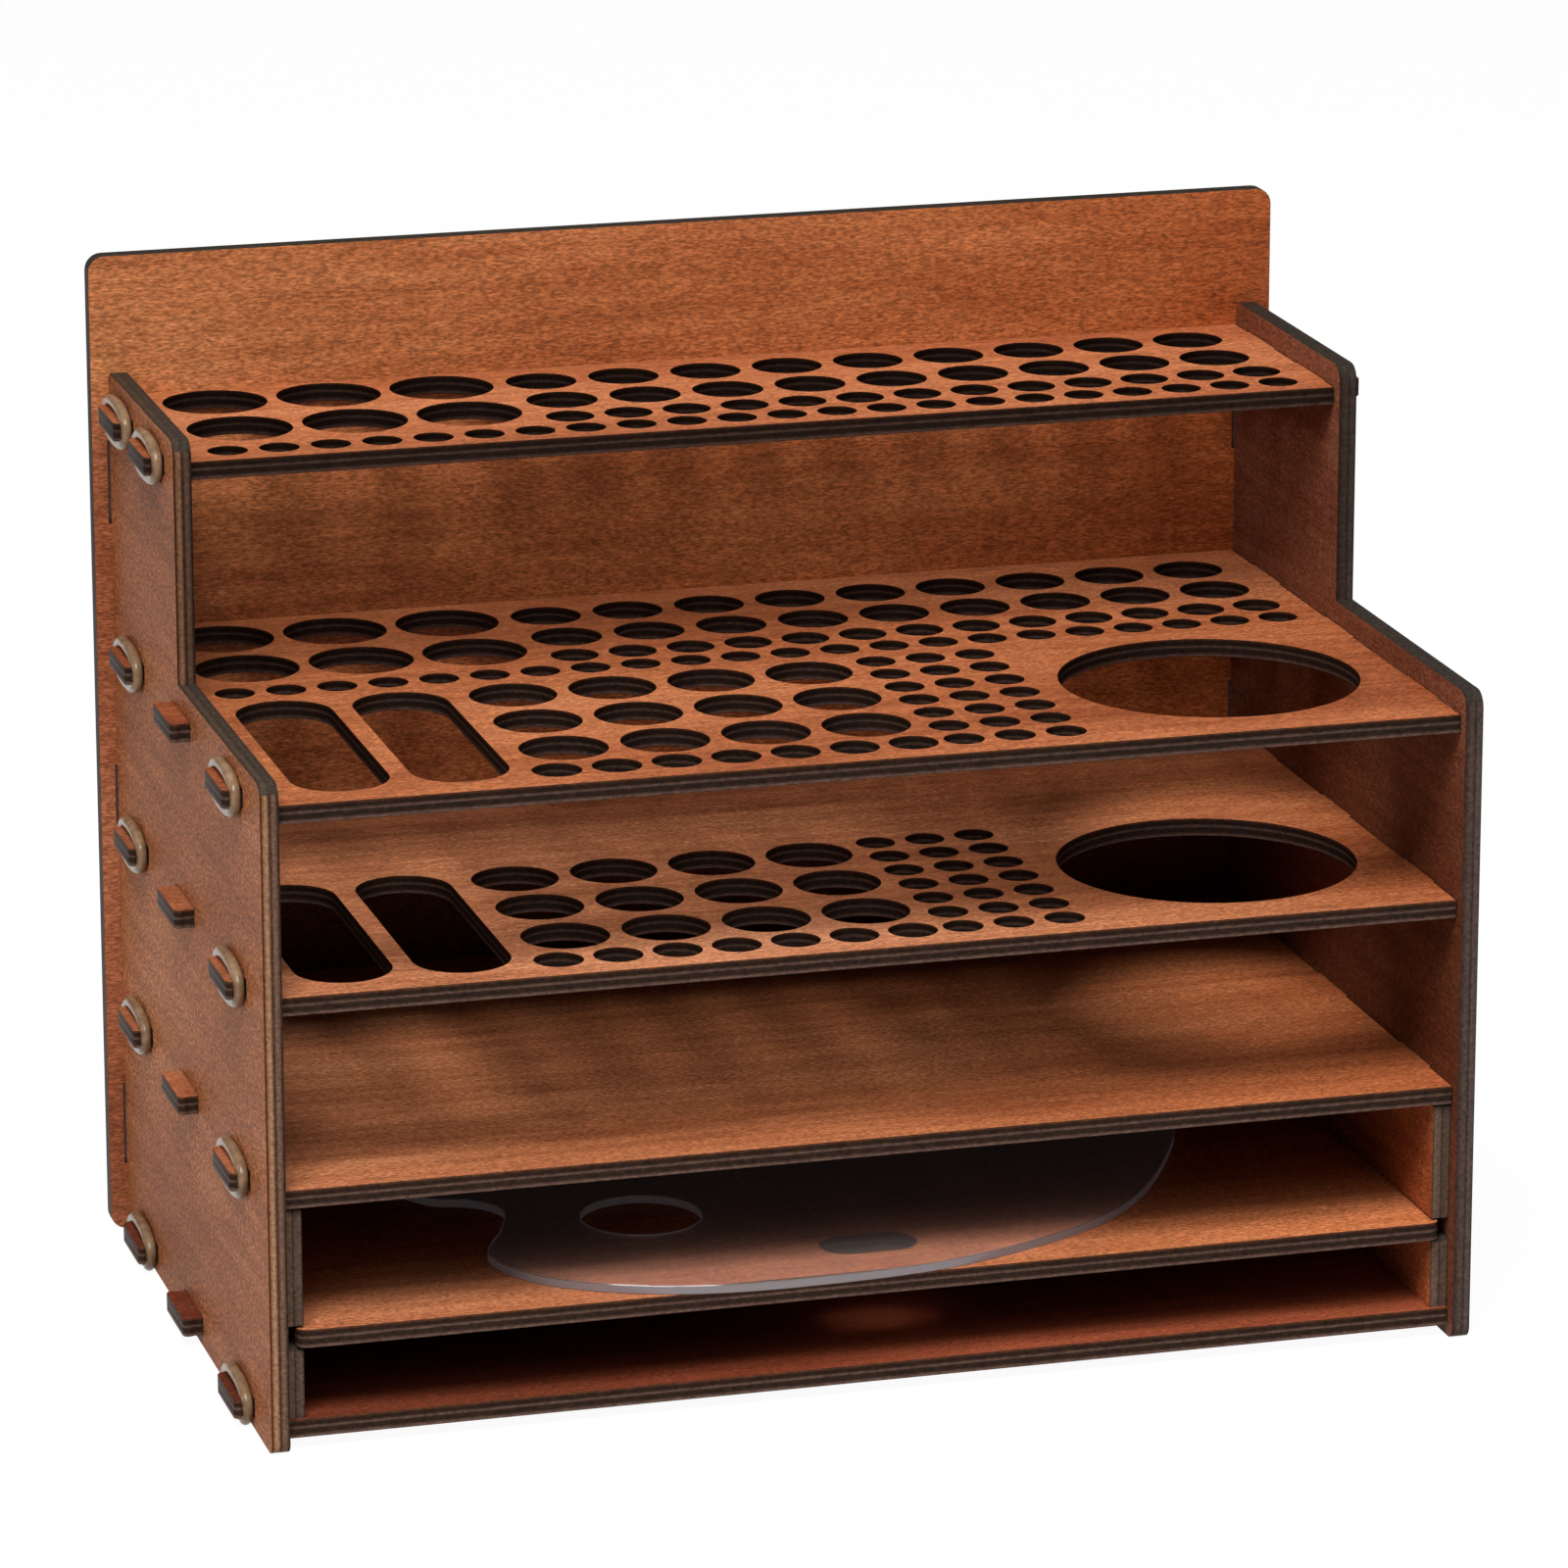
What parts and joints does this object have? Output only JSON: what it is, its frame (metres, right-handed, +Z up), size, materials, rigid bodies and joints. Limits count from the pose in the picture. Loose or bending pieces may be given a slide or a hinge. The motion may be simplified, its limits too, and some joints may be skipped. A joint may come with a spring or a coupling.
{
  "type": "desktop paint and brush organizer",
  "caption": "Stepped plywood rack with hole-cut shelves for paint pots, bottles and brushes, rubber-ring tab joints, and a pull-out shelf with a clear palette.",
  "frame": {"origin": "on the table, at the middle of the whole footprint, width and depth", "axes": "+X to the right and +Y to the back as the user sits in front of it, +Z up"},
  "size_m": [0.413, 0.244, 0.338],
  "materials": {
    "side_plywood": "satin",
    "back_plywood": "satin",
    "shelf_plywood": "satin",
    "strip_plywood": "satin",
    "ring_rubber": "satin",
    "clear_acrylic": "gloss"
  },
  "bodies": {
    "rack": {"left_side_panel": "side_plywood", "right_side_panel": "side_plywood", "back_panel": "back_plywood", "bottom_shelf": "shelf_plywood", "plain_shelf": "shelf_plywood", "lower_holder_shelf": "shelf_plywood", "upper_holder_shelf": "shelf_plywood", "top_shelf": "shelf_plywood", "left_lower_strip": "strip_plywood", "left_upper_strip": "strip_plywood", "right_lower_strip": "strip_plywood", "right_upper_strip": "strip_plywood", "left_rings_bottom_shelf": "ring_rubber", "left_rings_plain_shelf": "ring_rubber", "left_rings_lower_holder_shelf": "ring_rubber", "left_rings_upper_holder_shelf": "ring_rubber", "left_rings_top_shelf": "ring_rubber", "right_rings_bottom_shelf": "ring_rubber", "right_rings_plain_shelf": "ring_rubber", "right_rings_lower_holder_shelf": "ring_rubber", "right_rings_upper_holder_shelf": "ring_rubber", "right_rings_top_shelf": "ring_rubber"},
    "pull_out_shelf": {"pull_out_shelf": "shelf_plywood"},
    "palette": {"palette": "clear_acrylic"}
  },
  "joints": [
    {"name": "shelf_slide", "type": "slide", "parent": "rack", "child": "pull_out_shelf", "axis": [0, -1, 0], "range_m": [0, 0.15]},
    {"name": "palette_slide", "type": "slide", "parent": "pull_out_shelf", "child": "palette", "axis": [0, -1, 0], "range_m": [0, 0.09]}
  ]
}
